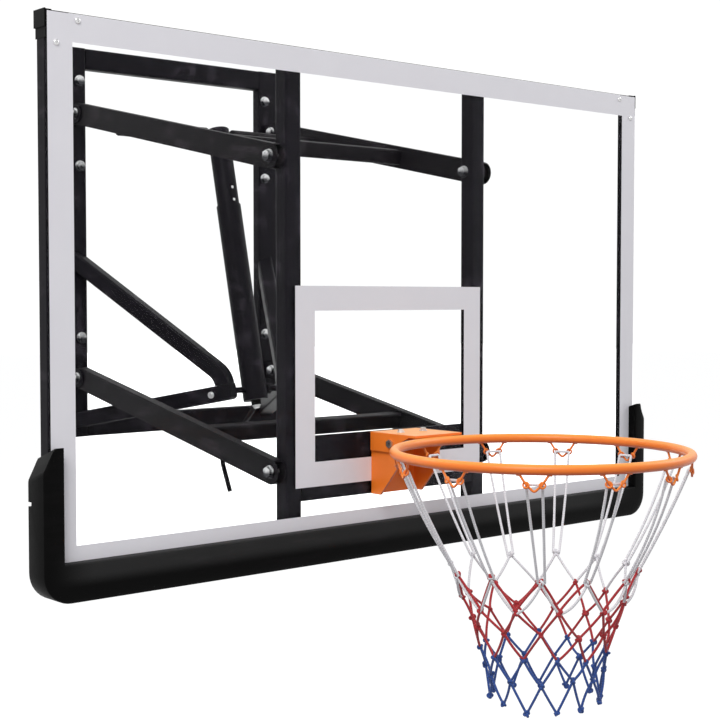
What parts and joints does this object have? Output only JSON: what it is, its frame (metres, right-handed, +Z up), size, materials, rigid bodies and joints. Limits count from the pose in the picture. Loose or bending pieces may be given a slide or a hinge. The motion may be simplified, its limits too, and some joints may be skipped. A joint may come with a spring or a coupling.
{
  "type": "wall-mounted basketball hoop",
  "caption": "Wall-mounted adjustable basketball hoop: clear backboard on parallelogram arms with a telescoping strut, breakaway orange rim and net.",
  "frame": {"origin": "middle of the wall frame's top bar, on its back face, which lies on the wall", "axes": "+Y into the wall, so the board faces -Y; +Z up; +X to the right seen from the court"},
  "size_m": [1.4114, 1.3161, 1.1485],
  "materials": {
    "black_steel": "satin black powder coat",
    "zinc_bolts": "zinc plated",
    "orange_rim": "satin orange powder coat",
    "net_cord": "braided cord in white, red and blue bands",
    "clear_panel": "clear polycarbonate with a pale printed border and target square",
    "pad": "moulded matt black",
    "cap_plastic": "matt"
  },
  "bodies": {
    "wall_frame": {"apex_pin": "black_steel", "brace_lower_left": "black_steel", "brace_lower_right": "black_steel", "brace_upper_left": "black_steel", "brace_upper_right": "black_steel", "clevis_lower_left": "black_steel", "clevis_lower_right": "black_steel", "clevis_upper_left": "black_steel", "clevis_upper_right": "black_steel", "lag_bolt_left_1": "zinc_bolts", "lag_bolt_left_2": "zinc_bolts", "lag_bolt_left_3": "zinc_bolts", "lag_bolt_right_1": "zinc_bolts", "lag_bolt_right_2": "zinc_bolts", "lag_bolt_right_3": "zinc_bolts", "rear_bolt_lower_left": "zinc_bolts", "rear_bolt_lower_right": "zinc_bolts", "rear_bolt_upper_left": "zinc_bolts", "rear_bolt_upper_right": "zinc_bolts", "wall_bar_bottom": "black_steel", "wall_bar_top": "black_steel", "wall_post_left": "black_steel", "wall_post_right": "black_steel"},
    "upper_arms": {"front_bolt_upper_left": "zinc_bolts", "front_bolt_upper_right": "zinc_bolts", "hanger_left": "black_steel", "hanger_right": "black_steel", "strut_pin": "zinc_bolts", "upper_arm_left": "black_steel", "upper_arm_right": "black_steel", "upper_crossbar": "black_steel"},
    "lower_arms": {"lower_arm_left": "black_steel", "lower_arm_right": "black_steel", "lower_crossbar": "black_steel"},
    "backboard": {"bottom_pad": "pad", "corner_cap_left": "cap_plastic", "corner_cap_right": "cap_plastic", "front_bolt_lower_left": "zinc_bolts", "front_bolt_lower_right": "zinc_bolts", "mount_bolt_lower_left": "zinc_bolts", "mount_bolt_lower_right": "zinc_bolts", "mount_bolt_upper_left": "zinc_bolts", "mount_bolt_upper_right": "zinc_bolts", "panel": "clear_panel", "rail_bottom": "black_steel", "rail_left": "black_steel", "rail_right": "black_steel", "rail_top": "black_steel", "rim_backer": "black_steel", "rim_mount": "orange_rim", "upright_left": "black_steel", "upright_right": "black_steel"},
    "rim": {"net": "net_cord", "rim_hinge_bolt": "zinc_bolts", "rim_plate": "orange_rim", "rim_ring": "orange_rim"},
    "strut_outer": {"strut_outer": "black_steel", "strut_plug": "black_steel"},
    "strut_inner": {"strut_inner": "black_steel"},
    "release_lever": {"release_lever": "black_steel"}
  },
  "joints": [
    {"name": "height_adjust", "type": "hinge", "parent": "wall_frame", "child": "upper_arms", "pos_m": [0, -0.051, -0.1168], "axis": [-1, 0, 0], "range_deg": [-14, 30]},
    {"name": "lower_arm_pivot", "type": "hinge", "parent": "wall_frame", "child": "lower_arms", "pos_m": [0, -0.051, -0.6508], "axis": [-1, 0, 0], "range_deg": [-14, 30]},
    {"name": "board_pivot", "type": "hinge", "parent": "upper_arms", "child": "backboard", "pos_m": [0, -0.68934, -0.24957], "axis": [-1, 0, 0], "range_deg": [-30, 14]},
    {"name": "strut_pivot", "type": "hinge", "parent": "wall_frame", "child": "strut_outer", "pos_m": [0, -0.3003, -0.6725], "axis": [-1, 0, 0], "range_deg": [-2.65, 1.3]},
    {"name": "strut_slide", "type": "slide", "parent": "strut_outer", "child": "strut_inner", "axis": [0, 0.2251, 0.9743], "range_m": [-0.0305, 0.065]},
    {"name": "lever_trigger", "type": "hinge", "parent": "strut_outer", "child": "release_lever", "pos_m": [0, -0.3003, -0.6725], "axis": [-1, 0, 0], "range_deg": [0, 20], "stiffness_Nm_per_rad": 1, "springref_deg": -22.92},
    {"name": "rim_breakaway", "type": "hinge", "parent": "backboard", "child": "rim", "pos_m": [0, -0.77134, -0.74297], "axis": [1, 0, 0], "range_deg": [0, 25], "stiffness_Nm_per_rad": 200, "springref_deg": -28.65}
  ],
  "couplings": [
    {"joint": "lower_arm_pivot", "follows": "height_adjust", "ratio": 1},
    {"joint": "board_pivot", "follows": "height_adjust", "ratio": -1},
    {"joint": "strut_pivot", "follows": "height_adjust", "ratio": -0.0845},
    {"joint": "strut_slide", "follows": "height_adjust", "m_per_rad": 0.1227}
  ]
}
